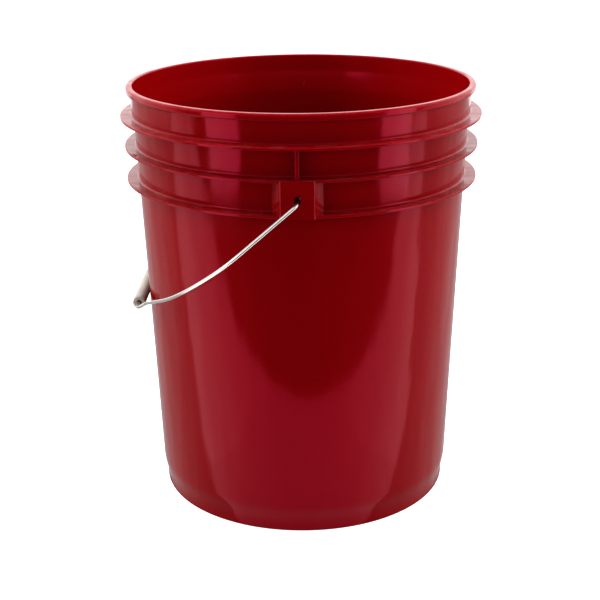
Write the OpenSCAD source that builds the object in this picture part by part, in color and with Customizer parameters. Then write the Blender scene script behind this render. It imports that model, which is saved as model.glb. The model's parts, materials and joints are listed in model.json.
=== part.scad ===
// Plastic fermenting bucket: a tapered open-top pail with three outer rings,
// a wire bail hung from two ears, and a loose plastic grip on the bail.
// Millimetres. Z is up, the foot stands on z = 0 and the two ears lie on the Y axis.

/* [What to show] */
// The part to draw, or "all"

/* [Pail body] */
// Height from the ground to the top of the rim
pail_height = 368; // [200:1:450]
// Outer radius the side wall would have at ground level
wall_radius_low = 131.3; // [80:0.05:180]
// How much the wall's radius grows per millimetre of height
wall_taper = 0.0397; // [0:0.0001:0.1]
// Thickness of the moulded side wall
wall_thickness = 2.3; // [1.5:0.1:4]

/* [Foot] */
// Outer radius of the stepped-in foot band
foot_radius = 129.4; // [75:0.1:175]
// Height of the foot band
foot_height = 13; // [4:0.5:30]
// Rounding where the foot band turns under the pail
foot_edge = 1.6; // [1:0.1:8]
// Radial width of the flat ring that touches the ground
foot_ring_width = 7; // [4:0.5:15]
// Height of the floor panel's underside above the ground
floor_recess = 4; // [1:0.5:10]
// Thickness of the floor panel
floor_thickness = 2.8; // [1.5:0.1:5]
// Radius of the inside corner between floor and wall
floor_corner = 8; // [2:0.5:20]

/* [Rim] */
// Outer radius of the rim bead
rim_radius = 150.7; // [90:0.1:200]
// Height of the rim bead
rim_height = 5.4; // [3:0.1:12]
// Rounding of the rim bead's outer top edge
rim_round = 2; // [0.5:0.1:3]
// Rounding of the rim's inner top edge
rim_inner_round = 1.2; // [0.5:0.1:2]
// Rounding of the rim bead's outer bottom edge
rim_lower_round = 0.8; // [0.2:0.1:2]

/* [Stacking and lid rings] */
// Thickness of each ring
ring_thickness = 2.2; // [1:0.1:4]
// Rounding of each ring's two edges
ring_edge = 0.6; // [0.2:0.1:1]
// Fillet between a ring and the wall
ring_fillet = 1.6; // [0.5:0.1:4]
// Outer radius of the top ring
ring_top_radius = 156.4; // [90:0.1:200]
// Height of the top ring's middle plane
ring_top_z = 341.8; // [150:0.1:440]
// How far the neck above the top ring steps out from the wall
neck_step = 1.5; // [0:0.1:3]
// Outer radius of the middle ring
ring_mid_radius = 153.6; // [90:0.1:200]
// Height of the middle ring's middle plane
ring_mid_z = 315.9; // [140:0.1:430]
// Outer radius of the bottom ring
ring_low_radius = 152.9; // [90:0.1:200]
// Height of the bottom ring's middle plane
ring_low_z = 287.6; // [130:0.1:420]

/* [Ears] */
// Distance of the ear's flat face from the pail's centre line
ear_face = 155; // [140:0.1:200]
// Width of the ear's flat face
ear_face_width = 26.5; // [15:0.5:50]
// Width of the ear where its bevelled sides meet the wall
ear_root_width = 42; // [20:0.5:70]
// Thickness of the ear's front plate and side walls
ear_plate = 2.5; // [1.5:0.1:5]
// Width of the hole for the wire
hole_width = 4.6; // [3:0.1:10]
// Distance between the centres of the hole's two round ends
hole_lift = 2.4; // [0:0.1:6]
// Radius of the shallow dish around the hole
dish_radius = 4.2; // [2.5:0.1:8]
// Depth of that dish
dish_depth = 0.5; // [0.2:0.1:1.5]
// Width of the upright rib above each ear
rib_width = 3.4; // [2:0.1:10]

/* [Bail wire] */
// Height of the axis the bail swings on
pivot_z = 300; // [140:0.5:430]
// Diameter of the bail wire
wire_d = 3.2; // [2:0.1:6]
// Distance from the swing axis to the grip's axis
bail_reach = 188; // [150:0.5:260]
// Angle below horizontal at which the bail hangs against the pail
hang_angle = 40; // [10:1:80]
// Distance from the pail's centre line to where the shank starts to bend
shank_end = 159; // [150:0.5:200]
// Radius of the bend from the shank into the leg
shank_bend = 4; // [2.5:0.5:10]
// Outward lean of each leg
leg_splay = 5.5; // [0:0.1:15]
// Radius of the shoulder bend after the straight leg
shoulder_radius = 50; // [10:0.5:120]
// Angle of the shoulder bend
shoulder_angle = 31; // [5:0.5:80]
// Straight length between the shoulder bend and the long sweep
shoulder_run = 4; // [1:0.5:40]
// Radius of the long sweep toward the grip
sweep_radius = 149; // [50:1:400]
// Angle of the long sweep
sweep_angle = 32; // [5:0.5:80]
// Straight length after the long sweep
sweep_run = 44; // [5:0.5:100]
// Radius of the reverse bend before the grip
reverse_radius = 12.8; // [5:0.1:40]
// Angle of the reverse bend
reverse_angle = 23; // [5:0.5:80]
// Straight length between the reverse bend and the corner
corner_run = 4.6; // [1:0.1:30]
// Radius of the corner bend beside the grip
corner_radius = 17; // [4:0.5:30]
// Bend radius of the hooked wire end inside the ear
hook_bend = 3; // [2:0.1:6]
// Straight length of the hooked wire end
hook_length = 3.6; // [1:0.1:8]

/* [Grip] */
// Length of the plastic grip
grip_length = 84; // [60:1:160]
// Outer diameter of the grip
grip_d = 11.2; // [8:0.1:30]
// Diameter of the bore the wire runs in
grip_bore = 3.9; // [3:0.1:10]
// Chamfer on the grip's ends
grip_chamfer = 0.8; // [0.2:0.1:3]

/* [Hidden] */
$fn = 96;
// Depth by which joined solids reach into each other
bite = 1;
// Depth by which a straight wire run laps over the bend at each of its ends
lap = 0.4;
// How much thinner a bend is than the straight wire, so the two meet in a clean step
bend_necking = 0.16;

function wall_radius(z) = wall_radius_low + wall_taper * z;

// Inside of the pail
inner_floor_z = floor_recess + floor_thickness;
inner_foot_radius = foot_radius - wall_thickness;
inner_step_z = foot_height + 9;
inner_top_radius = wall_radius(pail_height) + neck_step - wall_thickness;

// Ears
ear_bottom_z = ring_low_z - ring_thickness / 2;
ear_top_z = ring_mid_z + ring_thickness / 2;
ear_root_y = sqrt(pow(wall_radius(pivot_z), 2) - pow(ear_root_width / 2, 2));
hook_start = ear_face - ear_plate - 1;

// Directions of the bail wire, measured from straight away from the swing axis
shoulder_dir = leg_splay - shoulder_angle;
sweep_dir = shoulder_dir - sweep_angle;
reverse_dir = sweep_dir + reverse_angle;

// Reach of everything but the straight leg, which takes up the rest
bent_reach = shank_bend * (1 - sin(leg_splay))
    + shoulder_radius * (sin(leg_splay) - sin(shoulder_dir))
    + shoulder_run * cos(shoulder_dir)
    + sweep_radius * (sin(shoulder_dir) - sin(sweep_dir))
    + sweep_run * cos(sweep_dir)
    + reverse_radius * (sin(reverse_dir) - sin(sweep_dir))
    + corner_run * cos(reverse_dir)
    + corner_radius * (1 + sin(reverse_dir));
leg_length = (bail_reach - bent_reach) / cos(leg_splay);

// Half length of the straight wire through the grip
grip_run = shank_end
    + shank_bend * cos(leg_splay)
    + leg_length * sin(leg_splay)
    + shoulder_radius * (cos(shoulder_dir) - cos(leg_splay))
    + shoulder_run * sin(shoulder_dir)
    + sweep_radius * (cos(sweep_dir) - cos(shoulder_dir))
    + sweep_run * sin(sweep_dir)
    + reverse_radius * (cos(sweep_dir) - cos(reverse_dir))
    + corner_run * sin(reverse_dir)
    - corner_radius * cos(reverse_dir);

// Solid cone and foot of the pail, before the inside is taken out
module body_blank() {
    rotate_extrude() {
        polygon([
            [0, 0],
            [foot_radius - foot_edge, 0],
            [foot_radius, foot_edge],
            [foot_radius, foot_height],
            [wall_radius(foot_height + 2), foot_height + 2],
            [wall_radius(ring_top_z), ring_top_z],
            [wall_radius(ring_top_z) + neck_step, ring_top_z],
            [
                wall_radius(pail_height - rim_inner_round) + neck_step,
                pail_height - rim_inner_round
            ],
            [0, pail_height - rim_inner_round]
        ]);
        translate([foot_radius - foot_edge, foot_edge])
            circle(r = foot_edge);
    }
}

// Bead around the mouth that a lid snaps over
module rim_bead() {
    rim_bottom_z = pail_height - rim_height;
    rotate_extrude() {
        translate([inner_top_radius + rim_inner_round, rim_bottom_z + rim_lower_round])
            square([
                rim_radius - rim_round - inner_top_radius - rim_inner_round,
                rim_height - rim_lower_round
            ]);
        translate([inner_top_radius + rim_inner_round, rim_bottom_z])
            square([
                rim_radius - rim_lower_round - inner_top_radius - rim_inner_round,
                rim_lower_round
            ]);
        translate([inner_top_radius, rim_bottom_z])
            square([rim_inner_round, rim_height - rim_inner_round]);
        translate([rim_radius - rim_round, rim_bottom_z + rim_lower_round])
            square([rim_round, rim_height - rim_lower_round - rim_round]);
        translate([rim_radius - rim_round, pail_height - rim_round])
            circle(r = rim_round);
        translate([inner_top_radius + rim_inner_round, pail_height - rim_inner_round])
            circle(r = rim_inner_round);
        translate([rim_radius - rim_lower_round, rim_bottom_z + rim_lower_round])
            circle(r = rim_lower_round);
    }
}

// One flat ring with rounded edges and a fillet above and below. The wall may step out above it.
module ring(radius, z, step = 0) {
    half = ring_thickness / 2;
    root = wall_radius(z) - bite;
    rotate_extrude() {
        translate([root, z - half])
            square([radius - ring_edge - root, ring_thickness]);
        translate([root, z - half + ring_edge])
            square([radius - root, ring_thickness - 2 * ring_edge]);
        for (side = [-1, 1]) {
            out = side > 0 ? step : 0;
            translate([radius - ring_edge, z + side * (half - ring_edge)])
                circle(r = ring_edge);
            difference() {
                translate([root, z + side * (half + ring_fillet / 2) - ring_fillet / 2])
                    square([out + ring_fillet + bite, ring_fillet]);
                translate([
                    wall_radius(z + side * (half + ring_fillet)) + out + ring_fillet - 0.03,
                    z + side * (half + ring_fillet)
                ])
                    circle(r = ring_fillet);
            }
        }
    }
}

// Outline of an ear seen from above, shrunk by a wall thickness
module ear_outline(shrink) {
    face = ear_face - shrink;
    polygon([
        [-ear_face_width / 2 + shrink, -face],
        [ear_face_width / 2 - shrink, -face],
        [ear_root_width / 2 - shrink, -ear_root_y],
        [ear_root_width / 2 - shrink, -ear_root_y + 2 * bite],
        [-ear_root_width / 2 + shrink, -ear_root_y + 2 * bite],
        [-ear_root_width / 2 + shrink, -ear_root_y]
    ]);
}

// Ear block on the -Y side, reaching from the bottom ring to the middle ring
module ear_block() {
    translate([0, 0, ear_bottom_z])
        linear_extrude(ear_top_z - ear_bottom_z)
            ear_outline(0);
}

// Pocket behind the ear's front plate, open underneath
module ear_pocket() {
    difference() {
        translate([0, 0, ear_bottom_z - bite])
            linear_extrude(ear_top_z - ear_bottom_z + bite - ring_thickness)
                ear_outline(ear_plate);
        body_blank();
    }
}

// Upright oval hole through the ear's front plate, with its shallow dish
module ear_hole() {
    for (lift = [0, hole_lift])
        translate([0, -ear_face - bite, pivot_z + lift])
            rotate([-90, 0, 0])
                cylinder(d = hole_width, h = ear_plate + 2 * bite);
    translate([-hole_width / 2, -ear_face - bite, pivot_z])
        cube([hole_width, ear_plate + 2 * bite, hole_lift]);
    translate([0, -ear_face - bite, pivot_z + hole_lift / 2])
        rotate([-90, 0, 0])
            cylinder(r = dish_radius, h = dish_depth + bite);
}

// Upright rib between the middle and top rings, centred over the ear
module ear_rib() {
    depth = ring_mid_radius - 0.6 - wall_radius(ring_mid_z);
    translate([-rib_width / 2, -ring_mid_radius + 0.6, ring_mid_z])
        cube([rib_width, depth + bite, ring_top_z - ring_mid_z]);
}

// Rings, ears and ribs on the outside of the wall
module outside_features() {
    difference() {
        union() {
            ring(ring_top_radius, ring_top_z, neck_step);
            ring(ring_mid_radius, ring_mid_z);
            ring(ring_low_radius, ring_low_z);
            for (turn = [0, 180])
                rotate([0, 0, turn]) {
                    ear_block();
                    ear_rib();
                }
        }
        for (turn = [0, 180])
            rotate([0, 0, turn]) {
                ear_pocket();
                ear_hole();
            }
    }
}

// Space inside the pail, with a rounded corner at the floor and a slope out to the neck
module inside_space() {
    rotate_extrude() {
        polygon([
            [0, inner_floor_z],
            [inner_foot_radius - floor_corner, inner_floor_z],
            [inner_foot_radius - floor_corner, inner_floor_z + floor_corner],
            [inner_foot_radius, inner_floor_z + floor_corner],
            [wall_radius(inner_step_z) - wall_thickness, inner_step_z],
            [wall_radius(ring_top_z - 8) - wall_thickness, ring_top_z - 8],
            [wall_radius(ring_top_z + 12) + neck_step - wall_thickness, ring_top_z + 12],
            [inner_top_radius, pail_height],
            [inner_top_radius, pail_height + bite],
            [0, pail_height + bite]
        ]);
        translate([inner_foot_radius - floor_corner, inner_floor_z + floor_corner])
            circle(r = floor_corner);
    }
}

// Pail: one injection moulding with its rim, rings, ears and ribs
module pail() {
    color([0.55, 0.01, 0.03])
        difference() {
            union() {
                body_blank();
                rim_bead();
                outside_features();
            }
            inside_space();
            translate([0, 0, -bite])
                cylinder(r = foot_radius - foot_edge - foot_ring_width, h = floor_recess + bite);
        }
}

// Straight stretch of wire along +X, with the rest of the wire as children
module wire_run(length) {
    translate([-lap, 0, 0])
        rotate([0, 90, 0])
            cylinder(d = wire_d, h = length + 2 * lap);
    translate([length, 0, 0])
        children();
}

// Bend in the XY plane, positive to the left, with the rest of the wire as children
module wire_bend(radius, angle) {
    side = sign(angle);
    start = angle > 0 ? -90 : 90 + angle;
    translate([0, side * radius, 0]) {
        rotate([0, 0, start])
            rotate_extrude(angle = abs(angle))
                translate([radius, 0])
                    circle(d = wire_d - bend_necking);
        rotate([0, 0, angle])
            translate([0, -side * radius, 0])
                children();
    }
}

// Half of the bail short of the grip, drawn flat: X leads away from the swing axis, Y along it
module bail_half() {
    translate([0, shank_end, 0])
        rotate([0, 0, -90])
            wire_run(shank_end - hook_start)
                wire_bend(hook_bend, -90)
                    wire_run(hook_length);
    translate([0, shank_end, 0])
        rotate([0, 0, 90])
            wire_bend(shank_bend, leg_splay - 90)
                wire_run(leg_length)
                    wire_bend(shoulder_radius, -shoulder_angle)
                        wire_run(shoulder_run)
                            wire_bend(sweep_radius, -sweep_angle)
                                wire_run(sweep_run)
                                    wire_bend(reverse_radius, reverse_angle)
                                        wire_run(corner_run)
                                            wire_bend(corner_radius, -90 - reverse_dir);
}

// Puts a flat-drawn bail piece where it hangs, on the -X side
module hung() {
    translate([0, 0, pivot_z])
        rotate([0, 180 - hang_angle, 0])
            children();
}

// Bail: one bent wire from ear to ear
module bail_wire() {
    color([0.72, 0.73, 0.74])
        hung() {
            bail_half();
            mirror([0, 1, 0])
                bail_half();
            translate([bail_reach, 0, 0])
                rotate([90, 0, 0])
                    cylinder(d = wire_d, h = 2 * (grip_run + lap), center = true);
        }
}

// Grip: a plastic tube that turns freely on the wire
module grip() {
    color([0.82, 0.79, 0.72])
        hung()
            translate([bail_reach, 0, 0])
                rotate([90, 0, 0])
                    difference() {
                        translate([0, 0, -grip_length / 2]) {
                            cylinder(d1 = grip_d - 2 * grip_chamfer, d2 = grip_d, h = grip_chamfer);
                            translate([0, 0, grip_chamfer])
                                cylinder(d = grip_d, h = grip_length - 2 * grip_chamfer);
                            translate([0, 0, grip_length - grip_chamfer])
                                cylinder(d1 = grip_d, d2 = grip_d - 2 * grip_chamfer, h = grip_chamfer);
                        }
                        cylinder(d = grip_bore, h = grip_length + 2 * bite, center = true);
                    }
}

pail();
bail_wire();
grip();
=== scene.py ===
import json
import math

import bmesh
import bpy
from mathutils import Matrix, Vector


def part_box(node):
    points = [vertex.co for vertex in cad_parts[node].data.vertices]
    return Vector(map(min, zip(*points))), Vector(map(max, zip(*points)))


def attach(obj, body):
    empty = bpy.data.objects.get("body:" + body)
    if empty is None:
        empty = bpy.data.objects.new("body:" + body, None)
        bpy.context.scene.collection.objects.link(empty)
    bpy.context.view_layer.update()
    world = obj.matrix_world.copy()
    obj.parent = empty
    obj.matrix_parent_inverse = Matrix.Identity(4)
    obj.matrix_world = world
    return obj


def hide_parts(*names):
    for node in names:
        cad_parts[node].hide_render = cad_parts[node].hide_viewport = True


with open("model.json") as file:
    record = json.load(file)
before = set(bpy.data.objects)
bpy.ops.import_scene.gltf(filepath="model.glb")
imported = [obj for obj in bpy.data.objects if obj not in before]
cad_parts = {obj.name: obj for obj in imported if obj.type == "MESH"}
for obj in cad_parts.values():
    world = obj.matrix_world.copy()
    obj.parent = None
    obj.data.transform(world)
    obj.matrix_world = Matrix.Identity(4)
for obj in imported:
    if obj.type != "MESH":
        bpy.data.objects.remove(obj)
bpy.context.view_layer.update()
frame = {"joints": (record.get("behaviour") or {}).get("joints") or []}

# The camera stands in front of the ear that carries the bail, above the rim, and looks down
# into the mouth. It sees the swing axis almost end on, and it leans a hair to one side.
eye_distance = 1.10945
eye_height = 0.55772
ear_turn = math.radians(1.3)
look_down = math.radians(19.43)
camera_lean = math.radians(-0.56)

camera = bpy.data.objects.new("camera", bpy.data.cameras.new("camera"))
bpy.context.scene.collection.objects.link(camera)
camera.data.lens = 77.0
camera.data.sensor_width = 36.0
camera.data.shift_x = -0.0047
eye = Vector((eye_distance * math.sin(ear_turn), -eye_distance * math.cos(ear_turn), eye_height))
camera.matrix_world = (
    Matrix.Translation(eye)
    @ Matrix.Rotation(ear_turn, 4, "Z")
    @ Matrix.Rotation(math.radians(90) - look_down, 4, "X")
    @ Matrix.Rotation(camera_lean, 4, "Z")
)
bpy.context.scene.camera = camera


# Pail wall: one injection moulding in red polyethylene, a thin tapered tub with a drawn-in
# foot, a recessed floor panel, three flat rings and a heavy bead that the lid snaps over.
# Its outline is drawn once, in radius and height, and turned round the upright axis.
pail_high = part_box("pail")[1]
pail_height = pail_high.z
widest_ring = pail_high.x
wall_low = 0.1313
taper = 0.0397
wall = 0.0023
foot_radius = 0.1294
foot_height = 0.013
foot_ring = 0.007
foot_edge = 0.0016
foot_blend_low = 0.005
foot_blend_high = 0.009
foot_blend_round = 0.05
floor_recess = 0.004
floor_panel = 0.0028
floor_corner = 0.008
inner_foot_low = 0.0148
inner_foot_high = 0.022
inner_foot_round = 0.004
rim_radius = 0.1507
rim_height = 0.0054
ring_thickness = 0.0022
ring_edge = 0.0006
ring_fillet = 0.0016
rings = [(0.1529, 0.2876, 0), (0.1536, 0.3159, 0), (widest_ring, 0.3418, 0.0015)]
neck_slope_above = 0.012
neck_slope_below = 0.008
neck_slope_round = 0.06
steps_around = 288


def wall_radius(z):
    return wall_low + taper * z


def rounded(corners, arc_steps=6):
    """Points of an open outline whose corners (x, y, radius) are rounded by arcs."""
    points = []
    for i, (x, y, radius) in enumerate(corners):
        here = Vector((x, y))
        if radius == 0 or i in (0, len(corners) - 1):
            points.append(here)
            continue
        back = (Vector(corners[i - 1][:2]) - here).normalized()
        ahead = (Vector(corners[i + 1][:2]) - here).normalized()
        half = back.angle(ahead) / 2
        centre = here + (back + ahead).normalized() * radius / math.sin(half)
        start = here + back * radius / math.tan(half) - centre
        end = here + ahead * radius / math.tan(half) - centre
        turn = start.angle_signed(end)
        for step in range(arc_steps + 1):
            points.append(centre + Matrix.Rotation(-turn * step / arc_steps, 2) @ start)
    return points


def held(points, hold=0.0006, longest=0.022):
    """Adds rows beside the ends of long straight stretches, so that their shading stays flat."""
    out = [points[0]]
    for a, b in zip(points, points[1:]):
        length = (b - a).length
        if length > 4 * hold:
            inner = length - 2 * hold
            rows = max(1, math.ceil(inner / longest))
            out += [a.lerp(b, (hold + inner * i / rows) / length) for i in range(rows + 1)]
        out.append(b)
    return out


def ring_corners(radius, z, step):
    """Corners of one ring, above which the wall steps out."""
    low, high = z - ring_thickness / 2, z + ring_thickness / 2
    return [
        (wall_radius(low), low, ring_fillet),
        (radius, low, ring_edge),
        (radius, high, ring_edge),
        (wall_radius(high) + step, high, ring_fillet),
    ]


rim_bottom = pail_height - rim_height
neck_z, neck_step = rings[-1][1:]
mouth = wall_radius(pail_height) + neck_step - wall
floor_top = floor_recess + floor_panel
blend_top = foot_height + foot_blend_high
step_top = neck_z + neck_slope_above
step_bottom = neck_z - neck_slope_below
outline = [(0, floor_recess, 0)]
outline += [(foot_radius - foot_edge - foot_ring, floor_recess, 0.0015)]
outline += [(foot_radius - foot_edge - foot_ring, 0, 0.0006)]
outline += [(foot_radius, 0, foot_edge)]
outline += [(foot_radius, foot_height - foot_blend_low, foot_blend_round)]
outline += [(wall_radius(blend_top), blend_top, foot_blend_round)]
for ring in rings:
    outline += ring_corners(*ring)
outline += [(wall_radius(rim_bottom) + neck_step, rim_bottom, 0.0012)]
outline += [(rim_radius, rim_bottom, 0.0008), (rim_radius, pail_height, 0.002)]
outline += [(mouth, pail_height, 0.0012)]
outline += [(wall_radius(step_top) + neck_step - wall, step_top, neck_slope_round)]
outline += [(wall_radius(step_bottom) - wall, step_bottom, neck_slope_round)]
outline += [(wall_radius(inner_foot_high) - wall, inner_foot_high, inner_foot_round)]
outline += [(foot_radius - wall, inner_foot_low, inner_foot_round)]
outline += [(foot_radius - wall, floor_top, floor_corner * 0.9), (0, floor_top, 0)]


def new_object(name, mesh):
    obj = bpy.data.objects.new(name, mesh)
    bpy.context.scene.collection.objects.link(obj)
    return obj


def line_mesh(name, points):
    mesh = bpy.data.meshes.new(name)
    mesh.from_pydata(points, [(i, i + 1) for i in range(len(points) - 1)], [])
    return mesh


def nodes_of(tree):
    """Returns a function that adds a node, sets its properties and fills or links its inputs."""
    def add(kind, inputs=None, **properties):
        node = tree.nodes.new(kind)
        for key, value in properties.items():
            setattr(node, key, value)
        for key, value in (inputs or {}).items():
            socket = node.inputs[key]
            if isinstance(value, bpy.types.NodeSocket):
                tree.links.new(value, socket)
            else:
                socket.default_value = value
        return node
    return add


def turning_tree():
    """Geometry Nodes: turns an outline in the XZ plane into a solid round the Z axis."""
    tree = bpy.data.node_groups.new("turn_outline", "GeometryNodeTree")
    tree.is_modifier = True
    tree.interface.new_socket("Outline", in_out="INPUT", socket_type="NodeSocketGeometry")
    tree.interface.new_socket("Steps around", in_out="INPUT", socket_type="NodeSocketInt")
    tree.interface.new_socket("Seam merge", in_out="INPUT", socket_type="NodeSocketFloat")
    tree.interface.new_socket("Finish", in_out="INPUT", socket_type="NodeSocketMaterial")
    tree.interface.new_socket("Solid", in_out="OUTPUT", socket_type="NodeSocketGeometry")
    add = nodes_of(tree)
    given = add("NodeGroupInput").outputs
    size = add("GeometryNodeAttributeDomainSize", {"Geometry": given["Outline"]})
    columns = add("ShaderNodeMath", {0: given["Steps around"], 1: 1.0}, operation="ADD")
    grid = add("GeometryNodeMeshGrid", {
        "Vertices X": size.outputs["Point Count"], "Vertices Y": columns.outputs[0]})
    index = add("GeometryNodeInputIndex").outputs[0]
    share = add("ShaderNodeMath", {0: index, 1: columns.outputs[0]}, operation="DIVIDE")
    row = add("ShaderNodeMath", {0: share.outputs[0]}, operation="FLOOR")
    column = add("ShaderNodeMath", {0: index, 1: columns.outputs[0]}, operation="MODULO")
    step = add("ShaderNodeMath", {0: 2 * math.pi, 1: given["Steps around"]}, operation="DIVIDE")
    angle = add("ShaderNodeMath", {0: column.outputs[0], 1: step.outputs[0]}, operation="MULTIPLY")
    place = add("GeometryNodeInputPosition").outputs[0]
    point = add("GeometryNodeSampleIndex", {
        "Geometry": given["Outline"], "Index": row.outputs[0]}, data_type="FLOAT_VECTOR")
    tree.links.new(place, point.inputs["Value"])
    turned = add("ShaderNodeVectorRotate", {
        "Vector": point.outputs["Value"], "Angle": angle.outputs[0]}, rotation_type="Z_AXIS")
    shaped = add("GeometryNodeSetPosition", {
        "Geometry": grid.outputs["Mesh"], "Position": turned.outputs["Vector"]})
    closed = add("GeometryNodeMergeByDistance", {
        "Geometry": shaped.outputs[0], "Distance": given["Seam merge"]})
    real = add("GeometryNodeRealizeInstances", {"Geometry": closed.outputs[0]})
    finished = add("GeometryNodeSetMaterial", {
        "Geometry": real.outputs[0], "Material": given["Finish"]})
    add("NodeGroupOutput", {"Solid": finished.outputs[0]})
    return tree


def settle(obj, angle=math.radians(32)):
    """Replaces an object's mesh by what its modifiers make of it, closed and facing outwards."""
    depsgraph = bpy.context.evaluated_depsgraph_get()
    mesh = bpy.data.meshes.new_from_object(obj.evaluated_get(depsgraph), depsgraph=depsgraph)
    obj.modifiers.clear()
    shape = bmesh.new()
    shape.from_mesh(mesh)
    bmesh.ops.remove_doubles(shape, verts=shape.verts, dist=1e-6)
    bmesh.ops.dissolve_degenerate(shape, edges=shape.edges, dist=1e-6)
    bmesh.ops.recalc_face_normals(shape, faces=shape.faces)
    shape.to_mesh(mesh)
    shape.free()
    mesh.shade_smooth()
    mesh.set_sharp_from_angle(angle=angle)
    obj.data = mesh
    return obj


def made_by(obj, tree, values):
    """Runs a Geometry Nodes tree on an object, with its inputs set by their names."""
    modifier = obj.modifiers.new(tree.name, "NODES")
    modifier.node_group = tree
    sockets = {s.name: s.identifier for s in tree.interface.items_tree if s.item_type == "SOCKET"}
    for name, value in values.items():
        modifier[sockets[name]] = value
    return settle(obj)


pail_plastic = bpy.data.materials.new("red_polyethylene")
turn_outline = turning_tree()
profile = [(p.x, 0, p.y) for p in held(rounded(outline))]
pail = new_object("pail_moulding", line_mesh("pail_moulding", profile))
made_by(pail, turn_outline, {
    "Steps around": steps_around, "Seam merge": 1e-6, "Finish": pail_plastic})


# Ears and ribs: part of the same moulding. Each ear is a hollow box with a flat front plate and
# bevelled sides between the bottom and middle rings, open underneath so that the mould can draw
# its core, with an upright oval hole for the wire. A rib stands above it, up to the top ring.
ear_face = 0.155
ear_face_width = 0.0265
ear_root_width = 0.042
ear_plate = 0.0025
ear_seat = 0.1416
hole_width = 0.0046
hole_lift = 0.0024
dish_radius = 0.0042
dish_depth = 0.0006
rib_width = 0.0034
swing = frame["joints"][0]
pivot_z = swing["pos_m"][2]
ear_low = rings[0][1] - ring_thickness / 2 + 0.0001
ear_high = rings[1][1] + ring_thickness / 2 - 0.0001


def prism(shape, points, place):
    """Adds a closed prism: place(x, y, end) puts outline points at its two ends."""
    ends = [[shape.verts.new(place(x, y, end)) for x, y in points] for end in (0, 1)]
    shape.faces.new(ends[0])
    shape.faces.new(reversed(ends[1]))
    for i in range(len(points)):
        j = (i + 1) % len(points)
        shape.faces.new([ends[0][j], ends[0][i], ends[1][i], ends[1][j]])


def ear_plan(face, half_face, half_root, back, corner):
    """Half-ring outline of an ear seen from above, its back an arc that follows the wall."""
    root_y = math.sqrt(back ** 2 - half_root ** 2)
    spread = math.asin(half_root / back)
    front = [(half_root, -root_y, 0), (half_face, -face, corner)]
    front += [(-half_face, -face, corner), (-half_root, -root_y, 0)]
    arc = [(back * math.sin(a), -back * math.cos(a))
           for a in [spread * (i / 6 - 1) for i in range(13)]]
    return [tuple(p) for p in rounded(front)] + arc


def both_sides(shape, add):
    """Adds the same solid for the near and the far ear."""
    for turn in (0, math.pi):
        before = set(shape.verts)
        add(shape)
        fresh = [v for v in shape.verts if v not in before]
        bmesh.ops.rotate(shape, verts=fresh, cent=(0, 0, 0), matrix=Matrix.Rotation(turn, 3, "Z"))


def solid_of(name, add):
    shape = bmesh.new()
    both_sides(shape, add)
    bmesh.ops.remove_doubles(shape, verts=shape.verts, dist=1e-7)
    bmesh.ops.recalc_face_normals(shape, faces=shape.faces)
    mesh = bpy.data.meshes.new(name)
    shape.to_mesh(mesh)
    shape.free()
    mesh.materials.append(pail_plastic)
    return new_object(name, mesh)


def ear_block(shape):
    plan = ear_plan(ear_face, ear_face_width / 2, ear_root_width / 2, ear_seat, 0.0008)
    prism(shape, plan, lambda x, y, end: (x, y, ear_high if end else ear_low))


def ear_pocket(shape):
    plan = ear_plan(ear_face - ear_plate, ear_face_width / 2 - ear_plate,
                    ear_root_width / 2 - ear_plate, wall_radius(ear_high), 0.001)
    top, bottom = ear_high - ring_thickness, ear_low - 0.002
    prism(shape, plan, lambda x, y, end: (x, y, top if end else bottom))


def oval(radius, steps=12):
    """Upright oval as wide as the given radius allows, round at both ends."""
    lower = [math.pi * (1 + i / steps) for i in range(steps + 1)]
    upper = [math.pi * i / steps for i in range(steps + 1)]
    return ([(radius * math.cos(a), pivot_z + radius * math.sin(a)) for a in lower]
            + [(radius * math.cos(a), pivot_z + hole_lift + radius * math.sin(a)) for a in upper])


def ear_hole(shape):
    near, far = -ear_face - 0.001, -ear_face + ear_plate + 0.001
    prism(shape, oval(hole_width / 2), lambda x, z, end: (x, far if end else near, z))


def ear_dish(shape):
    middle = pivot_z + hole_lift / 2

    def place(x, z, end):
        y = -ear_face + dish_depth if end else -ear_face - dish_depth
        shrink = 0.8 if end else 1.1
        return (x * shrink, y, middle + (z - middle) * shrink)

    prism(shape, oval(dish_radius - hole_lift / 4), place)


def ear_rib(shape):
    outer = rings[1][0] - 0.0006
    half = rib_width / 2
    plan = [(half, -ear_seat - 0.001, 0), (half, -outer, 0.0007)]
    plan += [(-half, -outer, 0.0007), (-half, -ear_seat - 0.001, 0)]
    points = [tuple(p) for p in rounded(plan)]
    prism(shape, points, lambda x, y, end: (x, y, rings[2][1] if end else rings[1][1]))


for operation, add in (("UNION", ear_block), ("UNION", ear_rib), ("DIFFERENCE", ear_pocket),
                       ("DIFFERENCE", ear_dish), ("DIFFERENCE", ear_hole)):
    tool = solid_of("tool", add)
    cut = pail.modifiers.new("cut", "BOOLEAN")
    cut.operation = operation
    cut.object = tool
    cut.solver = "MANIFOLD"
    settle(pail)
    bpy.data.objects.remove(tool)


def held_flats(obj, hold=0.0005, smallest=0.0001):
    """Insets the ears' big flat faces, so that only their edges count as edges."""
    shape = bmesh.new()
    shape.from_mesh(obj.data)
    flats = [face for face in shape.faces if face.calc_area() > smallest]
    bmesh.ops.inset_individual(shape, faces=flats, thickness=hold)
    shape.to_mesh(obj.data)
    shape.free()


def even_shading(obj):
    """Weights each corner's normal by face area, so flat plates shade flat beside small rounds."""
    weigh = obj.modifiers.new("even_shading", "WEIGHTED_NORMAL")
    weigh.keep_sharp = True
    depsgraph = bpy.context.evaluated_depsgraph_get()
    obj.data = bpy.data.meshes.new_from_object(obj.evaluated_get(depsgraph), depsgraph=depsgraph)
    obj.modifiers.clear()


held_flats(pail)
even_shading(pail)


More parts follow.
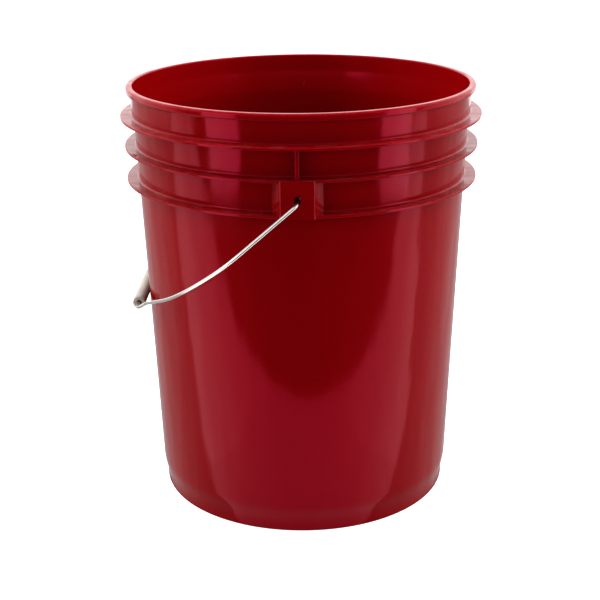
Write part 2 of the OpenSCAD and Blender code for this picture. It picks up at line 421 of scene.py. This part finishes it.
# Red polyethylene: a glossy, slightly uneven moulded skin, with fine handling scratches, a
# little dust where it faces up, and paler edges where the rings and the rim rub when stacked.
def shader_group(name, inputs, outputs):
    group = bpy.data.node_groups.new(name, "ShaderNodeTree")
    for title, kind, value in inputs:
        socket = group.interface.new_socket(title, in_out="INPUT", socket_type=kind)
        if value is not None:
            socket.default_value = value
    for title, kind in outputs:
        group.interface.new_socket(title, in_out="OUTPUT", socket_type=kind)
    return group


def moulded_skin_group():
    """Slow upright waves of a cooled moulding and the fine grain of its mould."""
    group = shader_group(
        "moulded_skin",
        [("Position", "NodeSocketVector", None), ("Ripple size", "NodeSocketFloat", 9.0),
         ("Grain size", "NodeSocketFloat", 900.0)],
        [("Ripple", "NodeSocketFloat"), ("Grain", "NodeSocketFloat"),
         ("Height", "NodeSocketFloat")])
    add = nodes_of(group)
    given = add("NodeGroupInput").outputs
    upright = add("ShaderNodeMapping", {"Vector": given["Position"], "Scale": (1, 1, 0.3)})
    ripple = add("ShaderNodeTexNoise", {
        "Vector": upright.outputs[0], "Scale": given["Ripple size"], "Detail": 2.0})
    grain = add("ShaderNodeTexNoise", {
        "Vector": given["Position"], "Scale": given["Grain size"], "Detail": 3.0})
    fine = add("ShaderNodeMath", {0: grain.outputs[0], 1: 0.01}, operation="MULTIPLY")
    height = add("ShaderNodeMath", {0: ripple.outputs[0], 1: fine.outputs[0]}, operation="ADD")
    add("NodeGroupOutput", {
        "Ripple": ripple.outputs[0], "Grain": grain.outputs[0], "Height": height.outputs[0]})
    return group


def scratches_group():
    """Thin hairlines in two directions, as a mask from 0 to 1."""
    group = shader_group(
        "hairline_scratches",
        [("Position", "NodeSocketVector", None), ("Density", "NodeSocketFloat", 60.0),
         ("Amount", "NodeSocketFloat", 0.5)],
        [("Mask", "NodeSocketFloat")])
    add = nodes_of(group)
    given = add("NodeGroupInput").outputs
    masks = []
    for tilt, stretch in ((0.35, 0.06), (-0.6, 0.05)):
        laid = add("ShaderNodeMapping", {
            "Vector": given["Position"], "Rotation": (tilt, tilt, 0.4), "Scale": (1, 1, stretch)})
        lines = add("ShaderNodeTexNoise", {
            "Vector": laid.outputs[0], "Scale": given["Density"], "Detail": 4.0, "Roughness": 0.7})
        thin = add("ShaderNodeMapRange", {
            "Value": lines.outputs[0], "From Min": 0.66, "From Max": 0.7})
        masks.append(thin.outputs[0])
    both = add("ShaderNodeMath", {0: masks[0], 1: masks[1]}, operation="MAXIMUM")
    scaled = add("ShaderNodeMath", {0: both.outputs[0], 1: given["Amount"]}, operation="MULTIPLY")
    add("NodeGroupOutput", {"Mask": scaled.outputs[0]})
    return group


def dust_group():
    """Dust that settles in patches on what faces up, as a mask from 0 to 1."""
    group = shader_group(
        "settled_dust",
        [("Position", "NodeSocketVector", None), ("Amount", "NodeSocketFloat", 0.3)],
        [("Mask", "NodeSocketFloat")])
    add = nodes_of(group)
    given = add("NodeGroupInput").outputs
    facing = add("ShaderNodeSeparateXYZ", {
        "Vector": add("ShaderNodeNewGeometry").outputs["Normal"]})
    up = add("ShaderNodeMapRange", {
        "Value": facing.outputs["Z"], "From Min": 0.4, "From Max": 1.0})
    patches = add("ShaderNodeTexNoise", {
        "Vector": given["Position"], "Scale": 70.0, "Detail": 5.0, "Roughness": 0.65})
    some = add("ShaderNodeMapRange", {
        "Value": patches.outputs[0], "From Min": 0.42, "From Max": 0.75})
    mask = add("ShaderNodeMath", {0: up.outputs[0], 1: some.outputs[0]}, operation="MULTIPLY")
    scaled = add("ShaderNodeMath", {0: mask.outputs[0], 1: given["Amount"]}, operation="MULTIPLY")
    add("NodeGroupOutput", {"Mask": scaled.outputs[0]})
    return group


def edge_wear_group():
    """Rubbed convex edges, broken up by noise, as a mask from 0 to 1."""
    group = shader_group(
        "edge_wear",
        [("Position", "NodeSocketVector", None), ("Amount", "NodeSocketFloat", 0.4)],
        [("Mask", "NodeSocketFloat")])
    add = nodes_of(group)
    given = add("NodeGroupInput").outputs
    sharp = add("ShaderNodeMapRange", {
        "Value": add("ShaderNodeNewGeometry").outputs["Pointiness"],
        "From Min": 0.53, "From Max": 0.62})
    breaks = add("ShaderNodeTexNoise", {
        "Vector": given["Position"], "Scale": 180.0, "Detail": 4.0})
    broken = add("ShaderNodeMath", {
        0: sharp.outputs[0], 1: breaks.outputs[0]}, operation="MULTIPLY")
    scaled = add("ShaderNodeMath", {0: broken.outputs[0], 1: given["Amount"]}, operation="MULTIPLY")
    add("NodeGroupOutput", {"Mask": scaled.outputs[0]})
    return group


def empty_material(material):
    material.use_nodes = True
    material.node_tree.nodes.clear()
    return nodes_of(material.node_tree)


def placed(add, group, inputs):
    node = add("ShaderNodeGroup", node_tree=group)
    for key, value in inputs.items():
        if isinstance(value, bpy.types.NodeSocket):
            node.id_data.links.new(value, node.inputs[key])
        else:
            node.inputs[key].default_value = value
    return node.outputs


moulded_skin = moulded_skin_group()
hairline_scratches = scratches_group()
settled_dust = dust_group()
edge_wear = edge_wear_group()

red = (0.092, 0.0002, 0.0009, 1)
deep_red = (0.078, 0.0001, 0.0006, 1)
rubbed_red = (0.19, 0.016, 0.022, 1)
dust_grey = (0.34, 0.20, 0.19, 1)

add = empty_material(pail_plastic)
where = add("ShaderNodeTexCoord").outputs["Object"]
skin = placed(add, moulded_skin, {"Position": where, "Ripple size": 22.0, "Grain size": 700.0})
lines = placed(add, hairline_scratches, {"Position": where, "Density": 70.0, "Amount": 0.5})
dust = placed(add, settled_dust, {"Position": where, "Amount": 0.06})
rubbed = placed(add, edge_wear, {"Position": where, "Amount": 0.5})
mottled = add("ShaderNodeMix", {0: skin["Ripple"], 6: deep_red, 7: red}, data_type="RGBA")
paler = add("ShaderNodeMix", {
    0: rubbed["Mask"], 6: mottled.outputs[2], 7: rubbed_red}, data_type="RGBA")
dusty = add("ShaderNodeMix", {0: dust["Mask"], 6: paler.outputs[2], 7: dust_grey}, data_type="RGBA")
gloss = add("ShaderNodeMapRange", {
    "Value": skin["Grain"], "From Min": 0.3, "From Max": 0.7, "To Min": 0.09, "To Max": 0.15})
scuffed = add("ShaderNodeMath", {0: lines["Mask"], 1: 0.12}, operation="MULTIPLY")
rough = add("ShaderNodeMath", {0: gloss.outputs[0], 1: scuffed.outputs[0]}, operation="ADD")
rougher = add("ShaderNodeMath", {0: rough.outputs[0], 1: dust["Mask"]}, operation="ADD")
bump = add("ShaderNodeBump", {"Height": skin["Height"], "Strength": 0.6, "Distance": 0.003})
plastic = add("ShaderNodeBsdfPrincipled", {
    "Base Color": dusty.outputs[2], "Roughness": rougher.outputs[0], "Normal": bump.outputs[0],
    "IOR": 1.46, "Specular Tint": (1.0, 0.06, 0.18, 1)})
add("ShaderNodeOutputMaterial", {"Surface": plastic.outputs[0]})

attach(pail, "pail")
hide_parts("pail")


# Bail: one length of zinc-plated steel wire, bent cold on a jig. Each end is hooked inside its
# ear, the leg leans out a little, then the wire sweeps in and jogs out to the straight grip run.
wire_radius = 0.00153
bail_reach = 0.188
hang_angle = math.radians(40)
shank_end = 0.159
hook_bend = 0.003
hook_length = 0.0036
leg_splay = 5.5
hook_start = ear_face - ear_plate - 0.001
middle_bends = [
    ("bend", 0.050, -31), ("run", 0.004), ("bend", 0.149, -32), ("run", 0.044),
    ("bend", 0.0128, 23), ("run", 0.0046)]
corner_radius = 0.017


def follow(moves, start, heading, step_angle=4.0, step_run=0.004):
    """Walks runs and bends in a plane. Headings are degrees from +X, positive to the left."""
    points, here = [Vector(start)], Vector(start)
    for kind, size, *turn in moves:
        if kind == "run":
            steps = max(1, math.ceil(size / step_run))
            way = Vector((math.cos(math.radians(heading)), math.sin(math.radians(heading))))
            points += [here + way * size * i / steps for i in range(1, steps + 1)]
        else:
            side = math.copysign(1, turn[0])
            out = math.radians(heading + 90 * side)
            centre = here + size * Vector((math.cos(out), math.sin(out)))
            steps = max(3, math.ceil(abs(turn[0]) / step_angle))
            spoke = here - centre
            points += [
                centre + Matrix.Rotation(math.radians(turn[0]) * i / steps, 2) @ spoke
                for i in range(1, steps + 1)]
            heading += turn[0]
        here = points[-1]
    return points, heading


# The straight leg takes up the reach that the bends leave, so the grip hangs on its joint's axis.
first_bend = [("bend", 0.004, leg_splay - 90)]
heading = follow(first_bend + middle_bends, (0, shank_end), 90)[1]
last_bends = middle_bends + [("bend", corner_radius, -90 - heading)]
legless = follow(first_bend + last_bends, (0, shank_end), 90)[0]
leg = (bail_reach - legless[-1].x) / math.cos(math.radians(leg_splay))
outside = follow(first_bend + [("run", leg)] + last_bends, (0, shank_end), 90)[0]
hook = follow([
    ("run", shank_end - hook_start), ("bend", hook_bend, -90), ("run", hook_length - 0.0005),
    ("run", 0.0005)], (0, shank_end), -90)[0]
half_path = hook[:0:-1] + outside
whole_path = half_path + [Vector((p.x, -p.y)) for p in reversed(half_path)]


def hung(reach, along):
    """Where a point of the flat bail hangs: reach leads away from the swing axis, along it in Y."""
    return Vector((-reach * math.cos(hang_angle), along, pivot_z - reach * math.sin(hang_angle)))


def wire_tree():
    """Geometry Nodes: draws a round wire with nipped ends along a path."""
    tree = bpy.data.node_groups.new("draw_wire", "GeometryNodeTree")
    tree.is_modifier = True
    tree.interface.new_socket("Path", in_out="INPUT", socket_type="NodeSocketGeometry")
    tree.interface.new_socket("Wire radius", in_out="INPUT", socket_type="NodeSocketFloat")
    tree.interface.new_socket("Sides", in_out="INPUT", socket_type="NodeSocketInt")
    tree.interface.new_socket("Nip length", in_out="INPUT", socket_type="NodeSocketFloat")
    tree.interface.new_socket("Finish", in_out="INPUT", socket_type="NodeSocketMaterial")
    tree.interface.new_socket("Wire", in_out="OUTPUT", socket_type="NodeSocketGeometry")
    add = nodes_of(tree)
    given = add("NodeGroupInput").outputs
    path = add("GeometryNodeMeshToCurve", {"Mesh": given["Path"]})
    length = add("GeometryNodeSplineParameter").outputs["Length"]
    full = add("GeometryNodeSplineLength").outputs["Length"]
    rest = add("ShaderNodeMath", {0: full, 1: length}, operation="SUBTRACT")
    nearest = add("ShaderNodeMath", {0: length, 1: rest.outputs[0]}, operation="MINIMUM")
    nip = add("ShaderNodeMapRange", {
        "Value": nearest.outputs[0], "From Max": given["Nip length"], "To Min": 0.76})
    sized = add("GeometryNodeSetCurveRadius", {
        "Curve": path.outputs[0], "Radius": nip.outputs[0]})
    walked = add("GeometryNodeCaptureAttribute", {"Geometry": sized.outputs[0]}, domain="POINT")
    walked.capture_items.new("FLOAT", "Walked")
    tree.links.new(length, walked.inputs["Walked"])
    circle = add("GeometryNodeCurvePrimitiveCircle", {
        "Resolution": given["Sides"], "Radius": given["Wire radius"]})
    around = add("GeometryNodeCaptureAttribute", {"Geometry": circle.outputs[0]}, domain="POINT")
    around.capture_items.new("VECTOR", "Around")
    tree.links.new(add("GeometryNodeInputPosition").outputs[0], around.inputs["Around"])
    swept = add("GeometryNodeCurveToMesh", {
        "Curve": walked.outputs["Geometry"], "Profile Curve": around.outputs["Geometry"],
        "Scale": nip.outputs[0], "Fill Caps": True})
    across = add("ShaderNodeSeparateXYZ", {"Vector": around.outputs["Around"]})
    place = add("ShaderNodeCombineXYZ", {
        "X": across.outputs["X"], "Y": across.outputs["Y"], "Z": walked.outputs["Walked"]})
    stored = add("GeometryNodeStoreNamedAttribute", {
        "Geometry": swept.outputs[0], "Name": "along_wire", "Value": place.outputs[0]},
        data_type="FLOAT_VECTOR", domain="POINT")
    real = add("GeometryNodeRealizeInstances", {"Geometry": stored.outputs[0]})
    finished = add("GeometryNodeSetMaterial", {
        "Geometry": real.outputs[0], "Material": given["Finish"]})
    add("NodeGroupOutput", {"Wire": finished.outputs[0]})
    return tree


zinc = bpy.data.materials.new("zinc_plated_wire")
bail = new_object("bail_handle_wire", line_mesh("bail_handle_wire", [
    hung(p.x, p.y) for p in whole_path]))
made_by(bail, wire_tree(), {
    "Wire radius": wire_radius, "Sides": 28, "Nip length": 0.0005, "Finish": zinc})

# Bright zinc: drawn hairlines that run along the wire, cloudy patches in the plating, and darker
# hairline scratches.
add = empty_material(zinc)
along = add("ShaderNodeAttribute", attribute_name="along_wire").outputs["Vector"]
where = add("ShaderNodeTexCoord").outputs["Object"]
stretched = add("ShaderNodeMapping", {"Vector": along, "Scale": (1, 1, 0.02)})
drawn = add("ShaderNodeTexNoise", {
    "Vector": stretched.outputs[0], "Scale": 2600.0, "Detail": 4.0, "Roughness": 0.7})
clouds = add("ShaderNodeTexNoise", {"Vector": where, "Scale": 160.0, "Detail": 3.0})
marks = placed(add, hairline_scratches, {"Position": where, "Density": 420.0, "Amount": 0.6})
shine = add("ShaderNodeMix", {
    0: clouds.outputs[0], 6: (0.52, 0.50, 0.48, 1), 7: (0.70, 0.67, 0.64, 1)}, data_type="RGBA")
marked = add("ShaderNodeMix", {
    0: marks["Mask"], 6: shine.outputs[2], 7: (0.42, 0.42, 0.43, 1)}, data_type="RGBA")
dull = add("ShaderNodeMapRange", {
    "Value": drawn.outputs[0], "From Min": 0.3, "From Max": 0.7, "To Min": 0.12, "To Max": 0.24})
grooves = add("ShaderNodeBump", {"Height": drawn.outputs[0], "Strength": 0.25, "Distance": 0.00008})
metal = add("ShaderNodeBsdfPrincipled", {
    "Base Color": marked.outputs[2], "Metallic": 1.0, "Roughness": dull.outputs[0],
    "Normal": grooves.outputs[0]})
add("ShaderNodeOutputMaterial", {"Surface": metal.outputs[0]})

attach(bail, "bail")
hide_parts("bail_wire")


# Grip: a moulded tube in uncoloured polyethylene, threaded on the wire before its last bend, so
# it turns freely. A thin line of flash runs down each side where the two mould halves met.
grip_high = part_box("grip")[1]
grip_radius = 0.0056
grip_bore = 0.00195
grip_half = grip_high.y
grip_middle = Vector(frame["joints"][1]["pos_m"])
flash_height = 0.00012

natural = bpy.data.materials.new("natural_polyethylene")
tube = [(grip_bore, 0, 0), (grip_bore, -grip_half, 0.0005), (grip_radius, -grip_half, 0.0009)]
tube += [(grip_radius, grip_half, 0.0009), (grip_bore, grip_half, 0.0005), (grip_bore, 0, 0)]
grip = new_object("grip_tube", line_mesh("grip_tube", [
    (p.x, 0, p.y) for p in held(rounded(tube), longest=0.006)]))
made_by(grip, turn_outline, {"Steps around": 96, "Seam merge": 1e-6, "Finish": natural})
for vertex in grip.data.vertices:
    x, y, z = vertex.co
    if abs(y) < 1e-5 and abs(x) > grip_radius - 1e-5:
        vertex.co.x += math.copysign(flash_height, x)
grip.data.transform(Matrix.Translation(grip_middle) @ Matrix.Rotation(math.radians(90), 4, "X"))

# Natural polyethylene: waxy and slightly see-through at the surface, greyed by handling.
add = empty_material(natural)
where = add("ShaderNodeTexCoord").outputs["Object"]
skin = placed(add, moulded_skin, {"Position": where, "Ripple size": 60.0, "Grain size": 1500.0})
lines = placed(add, hairline_scratches, {"Position": where, "Density": 260.0, "Amount": 0.6})
dust = placed(add, settled_dust, {"Position": where, "Amount": 0.25})
rubbed = placed(add, edge_wear, {"Position": where, "Amount": 0.6})
waxy = add("ShaderNodeMix", {
    0: skin["Ripple"], 6: (0.19, 0.16, 0.135, 1), 7: (0.25, 0.215, 0.18, 1)}, data_type="RGBA")
worn = add("ShaderNodeMix", {
    0: rubbed["Mask"], 6: waxy.outputs[2], 7: (0.30, 0.28, 0.25, 1)}, data_type="RGBA")
greyed = add("ShaderNodeMix", {
    0: dust["Mask"], 6: worn.outputs[2], 7: (0.12, 0.11, 0.10, 1)}, data_type="RGBA")
satin = add("ShaderNodeMapRange", {
    "Value": skin["Grain"], "From Min": 0.3, "From Max": 0.7, "To Min": 0.34, "To Max": 0.5})
scuffed = add("ShaderNodeMath", {0: lines["Mask"], 1: 0.2}, operation="MULTIPLY")
rough = add("ShaderNodeMath", {0: satin.outputs[0], 1: scuffed.outputs[0]}, operation="ADD")
bump = add("ShaderNodeBump", {"Height": skin["Height"], "Strength": 0.4, "Distance": 0.001})
wax = add("ShaderNodeBsdfPrincipled", {
    "Base Color": greyed.outputs[2], "Roughness": rough.outputs[0], "Normal": bump.outputs[0],
    "IOR": 1.5, "Transmission Weight": 0.3, "Subsurface Weight": 0.25, "Subsurface Scale": 0.002})
add("ShaderNodeOutputMaterial", {"Surface": wax.outputs[0]})

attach(grip, "grip")
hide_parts("grip")


# Studio: a plain pale light table that reaches past every view, with soft light from all round.
# Five sheets that only reflections see lie on it: white card at each side, grey card behind, black
# cloth in front, so the front stays deep red between bright patches, and a painted contact shadow:
# a black disc under the foot.
table_reach = 9.0
table_grey = (0.22, 0.22, 0.22, 1)
table_glow = 0.8
card_reach = 1.6
card_glow = 1.9
grey_glow = 0.42
card_grey = (0.01, 0.01, 0.01, 1)
# Black for the cloth in front, and for the painted contact shadow under the foot.
cloth_and_contact_shadow_black = (0.004, 0.004, 0.004, 1)
side_start = 0.17
card_front = -0.5
card_back = -0.12
card_level = 0.0003
# Black disc under the foot: a painted contact shadow, which darkens the foot's rounded bottom edge
# in its reflections.
contact_shadow_radius = 0.131
contact_shadow_level = 0.0005
contact_shadow_sides = 48
cloth_level = 0.0006
cloth_reach = 4.0
cloth_front = -5.0
cloth_left = -0.43
cloth_right = -0.33
cloth_turn = 0.5


def flat_sheet(name, corners, faces, height, colour, glow):
    mesh = bpy.data.meshes.new(name)
    mesh.from_pydata([(x, y, height) for x, y in corners], [], faces)
    material = bpy.data.materials.new(name)
    add = empty_material(material)
    surface = add("ShaderNodeBsdfPrincipled", {
        "Base Color": colour, "Roughness": 0.8, "Emission Color": (1, 1, 1, 1),
        "Emission Strength": glow})
    add("ShaderNodeOutputMaterial", {"Surface": surface.outputs[0]})
    mesh.materials.append(material)
    sheet = new_object(name, mesh)
    return sheet


def square(reach):
    return [(-reach, -reach), (reach, -reach), (reach, reach), (-reach, reach)]


def only_reflected(sheet):
    sheet.visible_camera = False
    sheet.visible_diffuse = False
    sheet.visible_shadow = False


flat_sheet("light_table", square(table_reach), [(0, 1, 2, 3)], 0.0, table_grey, table_glow)
left_card = [(-card_reach, -card_reach), (-side_start, card_front), (-side_start, card_back),
             (-card_reach, 0.0)]
right_card = [(-x, y) for x, y in reversed(left_card)]
for name, corners in (("left_card", left_card), ("right_card", right_card)):
    only_reflected(flat_sheet(name, corners, [(0, 1, 2, 3)], card_level, card_grey, card_glow))
grey_card = [(-card_reach, 0.0), (-side_start, card_back), (side_start, card_back),
             (card_reach, 0.0), (card_reach, card_reach), (-card_reach, card_reach)]
only_reflected(flat_sheet(
    "grey_card", grey_card, [tuple(range(6))], card_level, card_grey, grey_glow))
# Painted contact shadow: a black disc under the foot, seen only in reflections, so that the foot's
# rounded bottom edge shows a dark line.
contact_shadow_angles = [2 * math.pi * i / contact_shadow_sides for i in range(contact_shadow_sides)]
under = [(contact_shadow_radius * math.cos(a), contact_shadow_radius * math.sin(a)) for a in contact_shadow_angles]
only_reflected(flat_sheet(
    "contact_shadow_card", under, [tuple(range(contact_shadow_sides))], contact_shadow_level, cloth_and_contact_shadow_black, 0.0))
cloth = [(-cloth_reach, cloth_front), (cloth_reach, cloth_front), (cloth_reach, cloth_right),
         (cloth_turn, cloth_right), (-cloth_turn, cloth_left), (-cloth_reach, cloth_left)]
only_reflected(flat_sheet("black_cloth", cloth, [tuple(range(6))], cloth_level, cloth_and_contact_shadow_black, 0.0))


def softbox(name, azimuth, distance, height, width, tall, watts):
    """An upright soft light that faces the pail; azimuth counts from the camera's side."""
    light = bpy.data.lights.new(name, "AREA")
    light.shape = "RECTANGLE"
    light.size = width
    light.size_y = tall
    light.energy = watts
    lamp = new_object(name, light)
    turn = math.radians(azimuth)
    lamp.matrix_world = (
        Matrix.Rotation(turn, 4, "Z")
        @ Matrix.Translation((0, -distance, height))
        @ Matrix.Rotation(math.radians(90), 4, "X"))
    lamp.visible_camera = False
    return lamp


# The two front softboxes show as soft patches in the gloss of the neck. The fills and the
# overhead light only light what is matt.
softbox("left_softbox", -48, distance=1.0, height=0.4, width=0.46, tall=0.8, watts=4.5)
softbox("right_softbox", 62, distance=1.0, height=0.4, width=0.40, tall=0.8, watts=4.0)
for name, azimuth in (("left_fill", -100), ("right_fill", 100)):
    fill = softbox(name, azimuth, distance=1.3, height=1.1, width=1.2, tall=1.4, watts=70.0)
    fill.visible_glossy = False
overhead = softbox(
    "overhead_softbox", 0, distance=0.0, height=1.9, width=1.6, tall=1.6, watts=96.0)
overhead.matrix_world = Matrix.Translation((0, 0.2, 1.9))
overhead.visible_glossy = False

# A pale room, a little dimmer behind the camera and dark overhead, which edges the bright wire.
world = bpy.data.worlds.new("studio")
bpy.context.scene.world = world
world.use_nodes = True
world.node_tree.nodes.clear()
add = nodes_of(world.node_tree)
direction = add("ShaderNodeSeparateXYZ", {
    "Vector": add("ShaderNodeTexCoord").outputs["Generated"]})
front = add("ShaderNodeMapRange", {
    "Value": direction.outputs["Y"], "From Min": -0.75, "From Max": -0.2, "To Min": 0.9,
    "To Max": 1.0})
ceiling = add("ShaderNodeMapRange", {
    "Value": direction.outputs["Z"], "From Min": 0.6, "From Max": 0.85, "To Min": 1.25,
    "To Max": 0.2})
sky = add("ShaderNodeMath", {0: front.outputs[0], 1: ceiling.outputs[0]}, operation="MULTIPLY")
backdrop = add("ShaderNodeBackground", {"Strength": sky.outputs[0], "Color": (1, 1, 1, 1)})
add("ShaderNodeOutputWorld", {"Surface": backdrop.outputs[0]})
bpy.context.scene.view_settings.view_transform = "Standard"
bpy.context.scene.view_settings.look = "Medium High Contrast"
